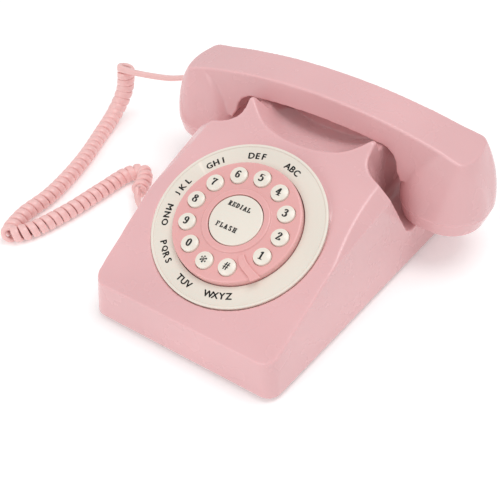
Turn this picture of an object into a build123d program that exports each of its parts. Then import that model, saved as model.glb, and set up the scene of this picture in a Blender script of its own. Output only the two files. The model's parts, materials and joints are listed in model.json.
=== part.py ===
from build123d import *
import math
import os

# Desk telephone with a push-button face, a lift-off handset and a coiled handset cord.
# Millimetres.  +X is the caller's right, +Y is the back, +Z is up.  Lengths along Y are
# counted from the lower front edge of the housing while modelling; save() then moves every
# piece so that the origin is the middle of the footprint, on the desk.

os.makedirs("parts", exist_ok=True)

# ---------------------------------------------------------------- driving dimensions
BASE_WIDTH = 134.0            # housing width along its lower front edge
BASE_DEPTH = 216.0            # housing depth along its lower edge
BASE_SPLAY = 0.071            # the sides spread by this much per mm towards the back
DRAFT_DEG = 4.6               # moulding draft of the housing's four walls
CORNER_R = 9.5                # vertical corners of the housing
FOOT_H = 3.0                  # height of the rubber feet under the housing's edge
WALL = 2.5                    # wall of every moulded shell

CREASE_Y = 2.0                # crease between the front lip and the sloping face
CREASE_Z = 29.5
SLOPE_DEG = 24.0              # tilt of the sloping face
FACE_FLAT_Y = 55.0            # the face is flat up to here, then curves over
FACE_ARC_R = 295.0
HORN_FOOT_Y = 128.0           # the front horns rise out of the face from here
HORN_Y = 146.0                # front end of their ridge
HORN_Z = 85.3
HORN_RIDGE = 3.4              # length of the ridge along Y
HORN_X = 42.8                 # its inner side
SADDLE_Z = 75.6               # ledge that carries the handset grip
SADDLE_Y0 = 154.0
SADDLE_Y1 = 197.0
REAR_HORN_Z = 76.8
REAR_LEDGE_Z = 44.0           # wall behind the side recesses

SHOULDER = [(66.4, 76, 60.2), (60.5, 126, 75.6), (69.3, 126, 68.2)]  # bevel beside the face

RECESS_Z = 28.0               # floor of the side recesses under the handset cups
RECESS_Y0 = 159.7             # front wall at the floor, beside the neck
RECESS_Y1 = 206.5
RECESS_LEAN = 0.56            # the front wall leans back by this much per mm down
RECESS_FLARE = 0.55           # and comes forward by this much per mm outwards
RECESS_CORNER_R = 19.0
NECK_HALF = 46.0              # half width of the neck between the recesses

RIM_Y = 131.0                 # middle of the hand hold's rim
RIM_Z = 75.4
VALLEY_DEG = 20.0             # fall of the hand hold behind the rim
VALLEY_MID_Y = 176.0          # it is symmetric about this line

DIAL_UP = 70.0                # dial centre, measured up the slope from the crease
RING_R = 55.0                 # outer radius of the letter ring
RING_IN_R = 40.9
FACE_R = 40.4                 # outer radius of the push-button face
FACE_TOP = 5.0                # its height above the sloping face
KEY_R = 5.5
KEY_CIRCLE_R = 30.6
KEY_PITCH_DEG = 29.0
KEY_FIRST_DEG = -27.0
KEY_TOP = 7.3
ROCKER_R = 16.8

HANDSET_X = -3.5              # the handset lies a little to the left of the middle
GRIP_TOP_Z = 95.2             # crest of the handset
GRIP_ARC_R = 385.0
GRIP_Y0 = 160.5               # its long creases
GRIP_Y1 = 190.0
GRIP_UNDER_Z = 79.4           # underside of the grip at its middle
GRIP_FLARE = 0.137            # the grip's sides spread by this much per mm down
GRIP_TURN_X = 46.5            # the underside turns down into the cups from here
GRIP_TURN_R = 14.0
GRIP_END_X = 102.0
CUP_X = 88.5                  # centres of the two cups
CUP_Y = 176.0
CUP_HALF = 29.5               # half width at the widest ring
CUP_TOP_Z = 85.0              # the cups reach up to here inside the grip
CUP_TOP_IN = 85.0             # inner and outer ends of a cup at that height
CUP_TOP_OUT = 99.8
CUP_TOP_BULGE = 3.4           # its outer end is curved by this much
CUP_MID_Z = 62.0              # the cups swell between the ring and the grip
CUP_MID_IN = 63.8
CUP_MID_OUT = 113.6
CUP_MID_HALF_Y = 24.2
RING_Z = 40.7                 # height of the widest ring
CAP_Z = 30.3                  # underside of the caps
CAP_HALF = 26.4
SOCKET_Z = 57.0               # cord socket in the end of the left cup
SOCKET_X = -113.9

CORD_R = 5.6                  # outside of the coiled part of the cord
LEAD_R = 1.75                 # straight leads of the cord
LIFT_CLEAR = 0.15             # gap kept between the handset and the cradle

WALL_JACK_Y = 84.0            # handset jack, in the left wall
LINE_JACK_X = 30.0            # line jack, in the rear wall
PLATE_LOW = 3.6               # base plate
PLATE_TOP = 6.0
BENCH_Z = 35.0                # bench inside that carries the hook springs
BOSS_SPOTS = [(-52, 15), (52, 15), (-63, 186), (63, 186)]
BOARD_POSTS = [(-37, 103), (37, 103), (-37, 147), (37, 147)]
FOOT_SPOTS = [(-50, 34), (50, 34), (-64, 200), (64, 200)]
BOARD_BOSSES = [-47, 73, 193]  # screw bosses of the keypad board, degrees round the dial
FACE_SCREWS = [45, 135, 225, 315]

CENTRE_Y = BASE_DEPTH / 2
SLOPE = math.radians(SLOPE_DEG)
DIAL_Y = CREASE_Y + DIAL_UP * math.cos(SLOPE)
DIAL_Z = CREASE_Z + DIAL_UP * math.sin(SLOPE)
dial_plane = Plane(
    origin=(0, DIAL_Y, DIAL_Z),
    x_dir=(1, 0, 0),
    z_dir=(0, -math.sin(SLOPE), math.cos(SLOPE)),
)
written = []


# ---------------------------------------------------------------- helpers
def save(node, solids):
    """Move a piece to the shared origin and write it as one STEP file."""
    if not isinstance(solids, (list, tuple)):
        solids = [solids]
    moved = []
    for solid in solids:
        moved += [Pos(0, -CENTRE_Y, 0) * part for part in solid.solids()]
    whole = moved[0] if len(moved) == 1 else Compound(children=moved)
    whole.label = node
    export_step(whole, f"parts/{node}.step")
    written.append(node)


def save_handset(node, solids):
    """Save a handset piece; the handset is modelled about its own middle."""
    if not isinstance(solids, (list, tuple)):
        solids = [solids]
    save(node, [Pos(HANDSET_X, 0, 0) * solid for solid in solids])


def on_dial(shape):
    """Carry a shape from the dial's own frame (z = 0 on the sloping face) to the housing."""
    return dial_plane.location * shape


def disc(radius, low, high, x=0.0, y=0.0):
    """Upright cylinder between two heights."""
    return Pos(x, y, (low + high) / 2) * Cylinder(radius, high - low)


def tube(outer, inner, low, high, x=0.0, y=0.0):
    """Upright ring between two heights."""
    return disc(outer, low, high, x, y) - disc(inner, low - 1, high + 1, x, y)


def block(x0, x1, y0, y1, z0, z1):
    """Box from its two corners."""
    return Pos((x0 + x1) / 2, (y0 + y1) / 2, (z0 + z1) / 2) * Box(x1 - x0, y1 - y0, z1 - z0)


def side_prism(points, x0, x1):
    """Outline in the YZ plane, drawn as (y, z) points, extruded along X from x0 to x1."""
    face = make_face(Polyline(*[(y, z) for y, z in points], close=True).edges())
    plane = Plane(origin=(x0, 0, 0), x_dir=(0, 1, 0), z_dir=(1, 0, 0))
    return extrude(plane * face, x1 - x0)


def domed_disc(radius, low, top, dome_r, edge_r):
    """Upright disc with a shallow dome and a rounded rim, turned from its half section."""
    rim = top - dome_r + math.sqrt(dome_r**2 - radius**2)
    half = radius / 2
    mid = top - dome_r + math.sqrt(dome_r**2 - half**2)
    outline = [Line((0, low), (radius, low)), Line((radius, low), (radius, rim)),
               ThreePointArc((radius, rim), (half, mid), (0, top)), Line((0, top), (0, low))]
    face = make_face(outline)
    corner = face.vertices().sort_by(Axis.X)[-2:].sort_by(Axis.Y)[-1]
    return revolve(Plane.XZ * fillet(corner, edge_r), Axis.Z)


def grip_under_z(x, inset=0.0):
    """Height of the grip's arched underside at a distance from the handset's middle."""
    radius = GRIP_ARC_R - GRIP_TOP_Z + GRIP_UNDER_Z + inset
    return GRIP_TOP_Z - GRIP_ARC_R + math.sqrt(radius ** 2 - x ** 2)


def polar(radius, degrees):
    angle = math.radians(degrees)
    return radius * math.cos(angle), radius * math.sin(angle)


def screw(head_r, head_h, shank_r, length, drive_r=1.2):
    """Pan-head screw pointing down from z = 0, with a cross recess in its head."""
    body = disc(head_r, 0, head_h) + disc(shank_r, -length, 0.01)
    body = fillet(body.edges().group_by(Axis.Z)[-1], head_h * 0.4)
    cross = Box(drive_r * 2.4, 0.6, 2) + Box(0.6, drive_r * 2.4, 2)
    return body - Pos(0, 0, head_h + 0.1) * cross


# ---------------------------------------------------------------- base: housing
def side_half_width(y, z):
    """Half width of the housing's side wall at a depth and a height."""
    draft = math.tan(math.radians(DRAFT_DEG))
    return BASE_WIDTH / 2 + BASE_SPLAY * y - draft * (z - FOOT_H)


def walls(inset):
    """Drafted block with rounded corners that bounds the housing on four sides."""
    w0 = BASE_WIDTH / 2 - inset
    w1 = BASE_WIDTH / 2 + BASE_SPLAY * BASE_DEPTH - inset
    outline = [(-w0, inset), (w0, inset), (w1, BASE_DEPTH - inset), (-w1, BASE_DEPTH - inset)]
    face = make_face(Polyline(*outline, close=True).edges())
    solid = extrude(Pos(0, 0, FOOT_H) * face, 100, taper=DRAFT_DEG)
    upright = [e for e in solid.edges() if abs(e.tangent_at(0.5).Z) > 0.9]
    return fillet(upright, CORNER_R - inset)


def face_z(y, inset=0.0):
    """Height of the front face at a depth: a flat slope, then an arc that eases it off."""
    start_z = CREASE_Z + (FACE_FLAT_Y - CREASE_Y) * math.tan(SLOPE)
    if y <= FACE_FLAT_Y:
        return start_z + (y - FACE_FLAT_Y) * math.tan(SLOPE) - inset / math.cos(SLOPE)
    centre_y = FACE_FLAT_Y + FACE_ARC_R * math.sin(SLOPE)
    centre_z = start_z - FACE_ARC_R * math.cos(SLOPE)
    return centre_z + math.sqrt((FACE_ARC_R - inset) ** 2 - (y - centre_y) ** 2)


def face_point(y, inset=0.0):
    return (y, face_z(y, inset))


def side_outline(inset):
    """Outline of the whole housing seen from the side, without the rear horns inside."""
    mid_y = (FACE_FLAT_Y + HORN_FOOT_Y) / 2
    flat = face_point(FACE_FLAT_Y, inset)
    foot = face_point(HORN_FOOT_Y, inset)
    edges = [Line(face_point(-5, inset), flat), ThreePointArc(flat, face_point(mid_y, inset), foot)]
    if inset:
        tail = [foot, (SADDLE_Y0 - 0.6 * inset, SADDLE_Z - inset), (SADDLE_Y1 + 5, SADDLE_Z - inset),
                (SADDLE_Y1 + 9.5 - inset, SADDLE_Z - inset)]
    else:
        peak = (HORN_Y, HORN_Z)
        middle = ((HORN_FOOT_Y + HORN_Y) / 2, (foot[1] + HORN_Z) / 2 - 1.6)
        edges.append(ThreePointArc(foot, middle, peak))
        tail = [peak, (HORN_Y + HORN_RIDGE, HORN_Z - 0.8), (SADDLE_Y0, SADDLE_Z), (SADDLE_Y1, SADDLE_Z),
                (SADDLE_Y1 + 5, REAR_HORN_Z), (SADDLE_Y1 + 9.5, REAR_HORN_Z)]
    tail += [(BASE_DEPTH - 4 - inset, 46), (BASE_DEPTH + 5, 30), (BASE_DEPTH + 5, FOOT_H), (-5, FOOT_H),
             face_point(-5, inset)]
    edges += Polyline(*tail).edges()
    return edges


def recess_plan(z, inset):
    """Plan of a side recess at a height: along the neck, round a corner, then forward and out."""
    inner = NECK_HALF - inset
    lean = (z - RECESS_Z) * RECESS_LEAN
    corner_y = RECESS_Y0 - lean + inset * (RECESS_FLARE - 1.14)
    outer_y = corner_y - (140.0 - inner) * RECESS_FLARE
    outline = Polyline((inner, 250), (inner, corner_y), (140, outer_y), (140, 250), close=True)
    plan = make_face(outline.edges())
    corner = plan.vertices().sort_by_distance((inner, corner_y, 0))[0]
    return Pos(0, 0, z) * fillet(corner, RECESS_CORNER_R - inset)


def recess(side, inset):
    """Space beside the neck that takes one handset cup, widened by the wall for the inside."""
    floor = RECESS_Z - inset
    top = 110.0
    ledge = REAR_LEDGE_Z - inset
    tool = loft([recess_plan(floor, inset), recess_plan(top, inset)], ruled=True)
    behind = [(20, floor), (20, top), (240, top), (240, ledge), (RECESS_Y1 + 3 + inset, ledge),
              (RECESS_Y1 + inset, floor)]
    tool = tool & side_prism(behind, 0, 140.0)
    low = tool.faces().sort_by(Axis.Z)[0].edges()
    low = [e for e in low if e.center().X < 139.0]
    tool = fillet(low, 6.0)
    return tool if side > 0 else mirror(tool, Plane.YZ)


def shoulder(side, inset):
    """Bevel that widens towards the back where the face meets a side wall."""
    start, inner, outer = [Vector(side * x, y, z) for x, y, z in SHOULDER]
    normal = (inner - start).cross(outer - start).normalized()
    if normal.Z < 0:
        normal = normal * -1
    plane = Plane(origin=start - normal * inset, x_dir=(inner - start).normalized(), z_dir=normal)
    return plane.location * block(-200, 200, -200, 200, 0, 60)


def valley_profile(z0, lift):
    """U-shaped section of the hand hold, in X and height, open at the top."""
    half = [(0.0, 0.0), (20.8, 1.8), (29.5, 4.5), (37.0, 9.3), (HORN_X, 14.4)]
    points = [(-x, z0 + z) for x, z in half[::-1]] + [(x, z0 + z) for x, z in half[1:]]
    right, left = points[-1], points[0]
    lid = Polyline(right, (HORN_X + 0.8, z0 + lift), (-HORN_X - 0.8, z0 + lift), left)
    return make_face([Spline(*points), *lid.edges()])


def valley(inset):
    """Hand hold under the grip: a trough that falls from the rim to the middle and rises again."""
    fall = math.radians(VALLEY_DEG)
    mid_z = RIM_Z - (VALLEY_MID_Y - RIM_Y) * math.tan(fall) - inset
    half = None
    for sign in (-1, 1):
        along = Vector(0, sign * math.cos(fall), math.sin(fall))
        plane = Plane(origin=(0, VALLEY_MID_Y, mid_z), x_dir=(-sign, 0, 0), z_dir=along)
        section = plane * valley_profile(0, 60)
        run = extrude(section, 90)
        keep = block(-80, 80, VALLEY_MID_Y - 200, VALLEY_MID_Y, -50, 300) if sign < 0 else block(
            -80, 80, VALLEY_MID_Y, VALLEY_MID_Y + 200, -50, 300)
        run = run & keep
        half = run if half is None else half + run
    return half


def housing_form(inset):
    """Outer form of the housing, or the matching inner form one wall further in."""
    profile = make_face(side_outline(inset))
    across = Plane(origin=(-140, 0, 0), x_dir=(0, 1, 0), z_dir=(1, 0, 0))
    form = walls(inset) & extrude(across * profile, 280)
    form -= shoulder(1, inset)
    form -= shoulder(-1, inset)
    form -= valley(inset)
    form -= recess(1, inset)
    form -= recess(-1, inset)
    return form


def upper_housing():
    """One shell: form less inner form, dial seat, screw bosses and openings."""
    inner = housing_form(WALL)
    shell = housing_form(0) - inner
    shell -= on_dial(disc(47.5, -30, -4.6))
    shell += on_dial(disc(RING_R + 0.3, -4.6, -2.0))
    shell += on_dial(tube(RING_R + 0.3, RING_R - 2.2, -12, -2.0)) - inner
    for x, y in BOSS_SPOTS:
        shell += disc(3.6, PLATE_TOP + 0.05, 70, x, y) & inner
    shell -= on_dial(disc(RING_R + 0.3, -2.0, 30))
    shell -= on_dial(disc(FACE_R + 0.3, -30, 30))
    for angle in FACE_SCREWS:
        x, y = polar(43.3, angle)
        shell -= on_dial(disc(1.05, -5, -2.5, x, y))
    for x, y in BOSS_SPOTS:
        shell -= disc(1.5, 0, 17, x, y)
    for x in (-36, 36):
        shell -= disc(4.3, 40, 100, x, VALLEY_MID_Y)
    shell -= block(-90, -64, WALL_JACK_Y - 7.3, WALL_JACK_Y + 7.3, 6.7, 20.3)
    shell -= block(LINE_JACK_X - 7.3, LINE_JACK_X + 7.3, 205, 230, 6.7, 20.3)
    shell -= block(-27, -12.5, 205, 230, 10.5, 15.5)
    shell -= block(-54, -46, 205, 230, 10.5, 15.5)
    return shell


def base_plate():
    """Flat cover with feet seats, speaker slots and posts for the boards."""
    gap = WALL + 0.4
    half0 = side_half_width(gap, PLATE_TOP) - gap
    half1 = side_half_width(BASE_DEPTH - gap, PLATE_TOP) - gap
    outline = [(-half0, gap + 0.3), (half0, gap + 0.3), (half1, BASE_DEPTH - gap - 0.3),
               (-half1, BASE_DEPTH - gap - 0.3)]
    face = make_face(Polyline(*outline, close=True).edges())
    face = fillet(face.vertices(), CORNER_R - WALL)
    plate = extrude(Pos(0, 0, PLATE_LOW) * face, PLATE_TOP - PLATE_LOW)
    for x, y in BOSS_SPOTS:
        plate -= disc(1.6, 0, 10, x, y)
    for i in range(-2, 3):
        plate -= block(-12 + abs(i) * 2, 12 - abs(i) * 2, 35 + i * 5, 37 + i * 5, 0, 10)
    for x, y in BOARD_POSTS:
        plate += disc(3, PLATE_LOW, 11.9, x, y)
        plate -= disc(1.05, 7, 13, x, y)
    for x in (-38, 38):
        plate -= disc(1.3, 0, 10, x, 75)
    for x in (-24, 24):
        plate -= disc(1.3, 0, 10, x, VALLEY_MID_Y)
    return plate


def rubber_feet():
    feet = []
    for x, y in FOOT_SPOTS:
        foot = disc(7, 0, PLATE_LOW, x, y)
        feet.append(fillet(foot.edges().group_by(Axis.Z)[0], 0.8))
    return feet


def housing_screws():
    turned = Rot(180, 0, 0) * screw(2.9, 1.7, 1.4, 11)
    return [Pos(x, y, PLATE_LOW) * turned for x, y in BOSS_SPOTS]


def ballast_weight():
    plate = block(-46, 46, 62, 88, PLATE_TOP + 0.05, 11)
    plate = fillet(plate.edges().filter_by(Axis.Z), 4)
    for x in (-38, 38):
        plate -= disc(1.7, 0, 20, x, 75)
    return plate


def ballast_screws():
    return [Pos(x, 75, 11.05) * screw(3, 1.8, 1.25, 7.0) for x in (-38, 38)]


# ---------------------------------------------------------------- base: dial
def key_angles():
    return [KEY_FIRST_DEG + KEY_PITCH_DEG * i for i in range(12)]


def letter_ring():
    """Flat ring with a thin raised lip, seated in the sloping face."""
    ring = tube(RING_R, RING_IN_R, -1.95, 0.7)
    lip = tube(RING_R, RING_R - 1.5, 0.7, 1.4)
    lip = fillet(lip.edges().group_by(Axis.Z)[-1], 0.5)
    return on_dial(ring + lip)


def dial_face():
    """Drum with key holes, a raised collar, an inner skirt and a mounting flange."""
    low = -6.2
    face = disc(FACE_R, low, FACE_TOP)
    face = fillet(face.edges().group_by(Axis.Z)[-1], 1.3)
    face -= disc(FACE_R - 2, low - 1, 3.0)
    collar = disc(21.5, FACE_TOP - 1, FACE_TOP + 1.0)
    collar = fillet(collar.edges().group_by(Axis.Z)[-1], 0.8)
    face += collar
    face += disc(19.3, -2.1, 3.5)
    for angle in BOARD_BOSSES:
        x, y = polar(20.6, angle)
        face += disc(2.4, -2.1, 3.5, x, y)
    face -= disc(ROCKER_R + 0.5, -5, 20)
    face += tube(46, FACE_R - 2, low, -4.7)
    for angle in key_angles():
        x, y = polar(KEY_CIRCLE_R, angle)
        face -= disc(KEY_R + 0.25, 2, 20, x, y)
    for angle in BOARD_BOSSES:
        x, y = polar(20.6, angle)
        face -= disc(0.95, -3, 2, x, y)
    for angle in FACE_SCREWS:
        x, y = polar(43.3, angle)
        face -= disc(1.2, -7, -4, x, y)
    pin_hole = Pos(0, 0, 0.5) * (Rot(0, 90, 0) * Cylinder(1.02, 40))
    return on_dial(face - pin_hole)


def finger_stop():
    """Curved rib across the gap in the key circle; it flares towards the rim."""
    left = [polar(24.0, -53.8), polar(33.7, -51.2), polar(37.7, -48.0), polar(42.2, -46.4)]
    right = [polar(24.0, -45.7), polar(29.9, -44.3), polar(37.0, -40.2), polar(42.2, -37.6)]
    edges = [Spline(*left), Line(left[-1], right[-1]), Spline(*right[::-1]), Line(right[0], left[0])]
    rib = extrude(Pos(0, 0, FACE_TOP + 0.05) * make_face(edges), 1.3)
    rib = chamfer(rib.edges().group_by(Axis.Z)[-1], 0.35)
    return on_dial(rib)


def key(angle):
    """Round key with a domed top, a retaining flange and a stem."""
    x, y = polar(KEY_CIRCLE_R, angle)
    cap = domed_disc(KEY_R, 1.9, KEY_TOP, 14.0, 0.6)
    body = cap + disc(6.6, 1.9, 2.85) + disc(3, 0, 2.0)
    return on_dial(Pos(x, y, 0) * body)


def centre_rocker():
    """Domed disc that rocks about a pin along X."""
    cap = domed_disc(ROCKER_R, 3.6, 7.0, 110.0, 0.7)
    for x in (-13.6, 13.6):
        lug = block(x - 1.6, x + 1.6, -3, 3, -1.2, 4.0)
        cap += lug
    pin_hole = Pos(0, 0, 0.5) * (Rot(0, 90, 0) * Cylinder(1.06, 40))
    return on_dial(cap - pin_hole)


def rocker_pin():
    pin = Pos(0, 0, 0.5) * (Rot(0, 90, 0) * Cylinder(1.0, 38))
    return on_dial(pin)


def keypad_mat():
    mat = disc(38.1, -3.4, -2.2)
    for angle in BOARD_BOSSES:
        x, y = polar(20.6, angle)
        mat -= disc(1.5, -5, 0, x, y)
    return on_dial(mat)


def keypad_board():
    board = disc(37.9, -5.05, -3.45)
    for angle in BOARD_BOSSES:
        x, y = polar(20.6, angle)
        board -= disc(1.1, -8, 0, x, y)
    return on_dial(board)


def keypad_screws():
    turned = Rot(180, 0, 0) * screw(1.9, 1.2, 0.9, 6.0, 0.8)
    spots = [polar(20.6, angle) for angle in BOARD_BOSSES]
    return [on_dial(Pos(x, y, -5.1) * turned) for x, y in spots]


def face_screws():
    turned = Rot(180, 0, 0) * screw(1.9, 1.3, 0.98, 3.2, 0.8)
    spots = [polar(43.3, angle) for angle in FACE_SCREWS]
    return [on_dial(Pos(x, y, -6.25) * turned) for x, y in spots]


# ---------------------------------------------------------------- base: electronics
def main_board():
    board = block(-42, 42, 98, 152, 12, 13.6)
    for x, y in BOARD_POSTS:
        board -= disc(1.3, 10, 20, x, y)
    return board


def board_components():
    top = 13.65
    chips = [block(-12, 12, 118, 130, top, top + 3), block(18, 30, 120, 132, top, top + 8)]
    cans = [disc(4, top, top + 9, x, 138) for x in (-28, -16)]
    small = [disc(2.5, top, top + 6, x, 108) for x in (-20, -10, 12)]
    plug = [block(-36, -24, 116, 124, top, top + 6)]
    return chips + cans + small + plug


def board_screws():
    return [Pos(x, y, 13.65) * screw(2.2, 1.4, 1.0, 5.5, 0.9) for x, y in BOARD_POSTS]


def ringer_speaker():
    """Small loudspeaker, face down over the slots."""
    cone = disc(20, PLATE_TOP + 1.05, 11, 0, 36) + disc(13, 10.9, 19, 0, 36)
    cone = fillet(cone.edges().group_by(Axis.Z)[-1], 1)
    return cone - disc(15, 5, 8.2, 0, 36)


def speaker_gasket():
    return tube(20, 16, PLATE_TOP + 0.05, PLATE_TOP + 1.0, 0, 36)


def hook_bracket():
    """Bench that carries the two springs and the switch under the hook."""
    y0, y1 = VALLEY_MID_Y - 9, VALLEY_MID_Y + 9
    bench = block(-30, 30, y0, y1, PLATE_TOP + 0.05, 8) + block(-30, 30, y0, y1, BENCH_Z - 2, BENCH_Z)
    bench += block(-30, -28, y0, y1, 7, BENCH_Z) + block(28, 30, y0, y1, 7, BENCH_Z)
    for x in (-24, 24):
        bench -= disc(1.6, 0, 12, x, VALLEY_MID_Y)
    return bench


def bracket_screws():
    return [Pos(x, VALLEY_MID_Y, 8.05) * screw(2.6, 1.6, 1.25, 4.2, 1.0) for x in (-24, 24)]


def hook_yoke():
    """Two plungers joined by a bar; the handset presses both."""
    bar = block(-40, 40, VALLEY_MID_Y - 4, VALLEY_MID_Y + 4, BENCH_Z + 9, BENCH_Z + 14)
    bar = fillet(bar.edges().filter_by(Axis.Z), 3)
    top = grip_under_z(40 - HANDSET_X) - LIFT_CLEAR
    for x in (-36, 36):
        plunger = disc(4, BENCH_Z + 13, top, x, VALLEY_MID_Y)
        bar += fillet(plunger.edges().group_by(Axis.Z)[-1], 1.5)
    return bar


def hook_springs():
    springs = []
    for x in (-14, 14):
        path = Helix(pitch=1.75, height=7.6, radius=3.2)
        start = Plane(path @ 0, z_dir=path % 0)
        coil = sweep(start * Circle(0.35), path=path)
        springs.append(Pos(x, VALLEY_MID_Y, BENCH_Z + 0.7) * coil)
    return springs


def hook_switch():
    y = VALLEY_MID_Y
    z = BENCH_Z
    body = block(-6, 6, y - 5, y + 5, z + 0.05, z + 6) + block(-5, 4, y - 2, y + 2, z + 6.8, z + 7.3)
    return body + block(-5, -4, y - 2, y + 2, z + 5.9, z + 7.3)


def jack(length):
    """Socket with its mouth at x = 0, facing +X."""
    shell = block(-length, 0, -7, 7, 7, 20)
    return shell - block(-length + 4, 1, -3.6, 3.6, 9.5, 16) - block(-length + 4, 1, -1.6, 1.6, 15, 18)


def handset_jack():
    mouth = side_half_width(WALL_JACK_Y, 13.5) + 0.2
    return Pos(-mouth, WALL_JACK_Y, 0) * (Rot(0, 0, 180) * jack(13))


def line_jack():
    return Pos(LINE_JACK_X, BASE_DEPTH - 0.8, 0) * (Rot(0, 0, 90) * jack(13))


def slide_knob(x, width):
    knob = block(x - width / 2, x + width / 2, 211.2, BASE_DEPTH + 1.6, 11.2, 14.8)
    return fillet(knob.edges().group_by(Axis.Y)[-1], 0.6)


def switch_body(x):
    body = block(x - 9, x + 9, 203, 211, 8, 18)
    return body


# ---------------------------------------------------------------- handset
def ring_outline(half_x, half_y, radius, x, y, z):
    return Pos(x, y, z) * RectangleRounded(2 * half_x, 2 * half_y, radius)


def cup_form(side, inset):
    """Cup above its widest ring: round there, swelling, and square where it meets the crest."""
    low = ring_outline(CUP_HALF - inset, CUP_HALF - 0.5 - inset, 26.5 - inset, CUP_X, CUP_Y, RING_Z)
    mid_x = (CUP_MID_IN + CUP_MID_OUT) / 2
    mid_half = (CUP_MID_OUT - CUP_MID_IN) / 2
    mid = ring_outline(mid_half - inset, CUP_MID_HALF_Y - inset, 17 - inset, mid_x, CUP_Y, CUP_MID_Z)
    x0, x1 = CUP_TOP_IN + inset, CUP_TOP_OUT - inset
    spread = (GRIP_TOP_Z - CUP_TOP_Z) * GRIP_FLARE
    y0, y1 = GRIP_Y0 - spread + inset, GRIP_Y1 + spread - inset
    edges = [Line((x0, y0), (x1, y0)), ThreePointArc((x1, y0), (x1 + CUP_TOP_BULGE, (y0 + y1) / 2), (x1, y1)),
             Line((x1, y1), (x0, y1)), Line((x0, y1), (x0, y0))]
    end = make_face(edges)
    end = fillet(end.vertices().sort_by(Axis.X)[:2], 6.0 - inset)
    end = fillet(end.vertices().sort_by(Axis.X)[-2:], 1.4)
    cup = loft([low, mid, Pos(0, 0, CUP_TOP_Z) * end])
    return cup if side > 0 else mirror(cup, Plane.YZ)


def grip_form(inset):
    """Grip: faceted bar with an arched top and underside, curving down into both cups."""
    corner = GRIP_TURN_R + inset
    turn_z = grip_under_z(GRIP_TURN_X, inset)
    edge_x = GRIP_TURN_X + corner
    x_end = GRIP_END_X - 8 - inset
    z_low = turn_z - corner
    left, right = (-GRIP_TURN_X, turn_z), (GRIP_TURN_X, turn_z)
    outline = [ThreePointArc(left, (0, GRIP_UNDER_Z + inset), right)]
    for s in (1, -1):
        bend = ThreePointArc((s * GRIP_TURN_X, turn_z),
                             (s * (GRIP_TURN_X + corner * 0.7071), turn_z - corner * 0.2929),
                             (s * edge_x, z_low))
        outline += [bend, Line((s * edge_x, z_low), (s * (edge_x + 4), z_low - 7)),
                    Line((s * (edge_x + 4), z_low - 7), (s * x_end, CUP_TOP_Z - 10)),
                    Line((s * x_end, CUP_TOP_Z - 10), (s * (x_end + 3), CUP_TOP_Z + 20))]
    outline.append(Line((-x_end - 3, CUP_TOP_Z + 20), (x_end + 3, CUP_TOP_Z + 20)))
    front = Plane(origin=(0, 250, 0), x_dir=(1, 0, 0), z_dir=(0, -1, 0)) * make_face(outline)
    bar = extrude(front, 200)
    spread = (GRIP_TOP_Z - 40) * GRIP_FLARE
    section = [(GRIP_Y0 + inset, GRIP_TOP_Z + 0.1), (GRIP_Y1 - inset, GRIP_TOP_Z + 0.1),
               (GRIP_Y1 + spread - inset, 40), (GRIP_Y0 - spread + inset, 40)]
    return bar & side_prism(section, -130, 130)


def handset_form(inset):
    form = grip_form(inset) + cup_form(1, inset) + cup_form(-1, inset)
    radius = GRIP_ARC_R - inset
    arch = Pos(0, CUP_Y, GRIP_TOP_Z - GRIP_ARC_R) * (Rot(90, 0, 0) * Cylinder(radius, 120))
    return form & arch


def handset_body():
    shell = handset_form(0) - handset_form(WALL)
    socket_y = CUP_Y + 0.5
    shell -= block(-125, SOCKET_X + 10.6, socket_y - 4.2, socket_y + 4.2, SOCKET_Z - 3.7, SOCKET_Z + 3.7)
    return shell


def cap_shell(side):
    """Cap that closes a cup; its side tapers in to a flat underside with sound holes."""
    low = ring_outline(CAP_HALF, CAP_HALF, 22, side * CUP_X, CUP_Y, CAP_Z)
    high = ring_outline(CUP_HALF, CUP_HALF - 0.5, 26.5, side * CUP_X, CUP_Y, RING_Z - 0.1)
    cap = loft([low, high])
    cap = fillet(cap.edges().group_by(Axis.Z)[0], 1.2)
    cap -= disc(24.0, CAP_Z + 2.2, RING_Z + 5, side * CUP_X, CUP_Y)
    cap += tube(25.0, 23.5, CAP_Z + 6, RING_Z + 2.5, side * CUP_X, CUP_Y)
    rings = ((0, 1), (5.5, 6), (11, 12)) if side < 0 else ((0, 1), (5.5, 6))
    for radius, count in rings:
        for i in range(count):
            x, y = polar(radius, 360 * i / count)
            cap -= disc(1.1, CAP_Z - 1, CAP_Z + 5, side * CUP_X + x, CUP_Y + y)
    return cap


def capsule(side, height):
    body = disc(21, CAP_Z + 4.2, CAP_Z + 4.2 + height, side * CUP_X, CUP_Y)
    body += disc(12, CAP_Z + 4, CAP_Z + 7.2 + height, side * CUP_X, CUP_Y)
    return fillet(body.edges().group_by(Axis.Z)[-1], 1)


def capsule_gaskets():
    return [tube(20, 15, CAP_Z + 2.25, CAP_Z + 3.95, s * CUP_X, CUP_Y) for s in (-1, 1)]


def handset_weight():
    floor = GRIP_UNDER_Z + WALL + 0.1
    bar = block(-30, 30, CUP_Y - 8, CUP_Y + 9, floor, floor + 3.8)
    return fillet(bar.edges().filter_by(Axis.Z), 3)


def handset_socket():
    """Cord socket set in the end wall of the left cup."""
    y = CUP_Y + 0.5
    back = SOCKET_X + 16
    shell = block(SOCKET_X, back, y - 4.0, y + 4.0, SOCKET_Z - 3.5, SOCKET_Z + 3.5)
    return shell - block(SOCKET_X - 4, back - 2, y - 3, y + 3, SOCKET_Z - 2.5, SOCKET_Z + 2.5)


def wire(radius, *points):
    path = Spline(*points)
    return sweep(Plane(path @ 0, z_dir=path % 0) * Circle(radius), path=path)


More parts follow.
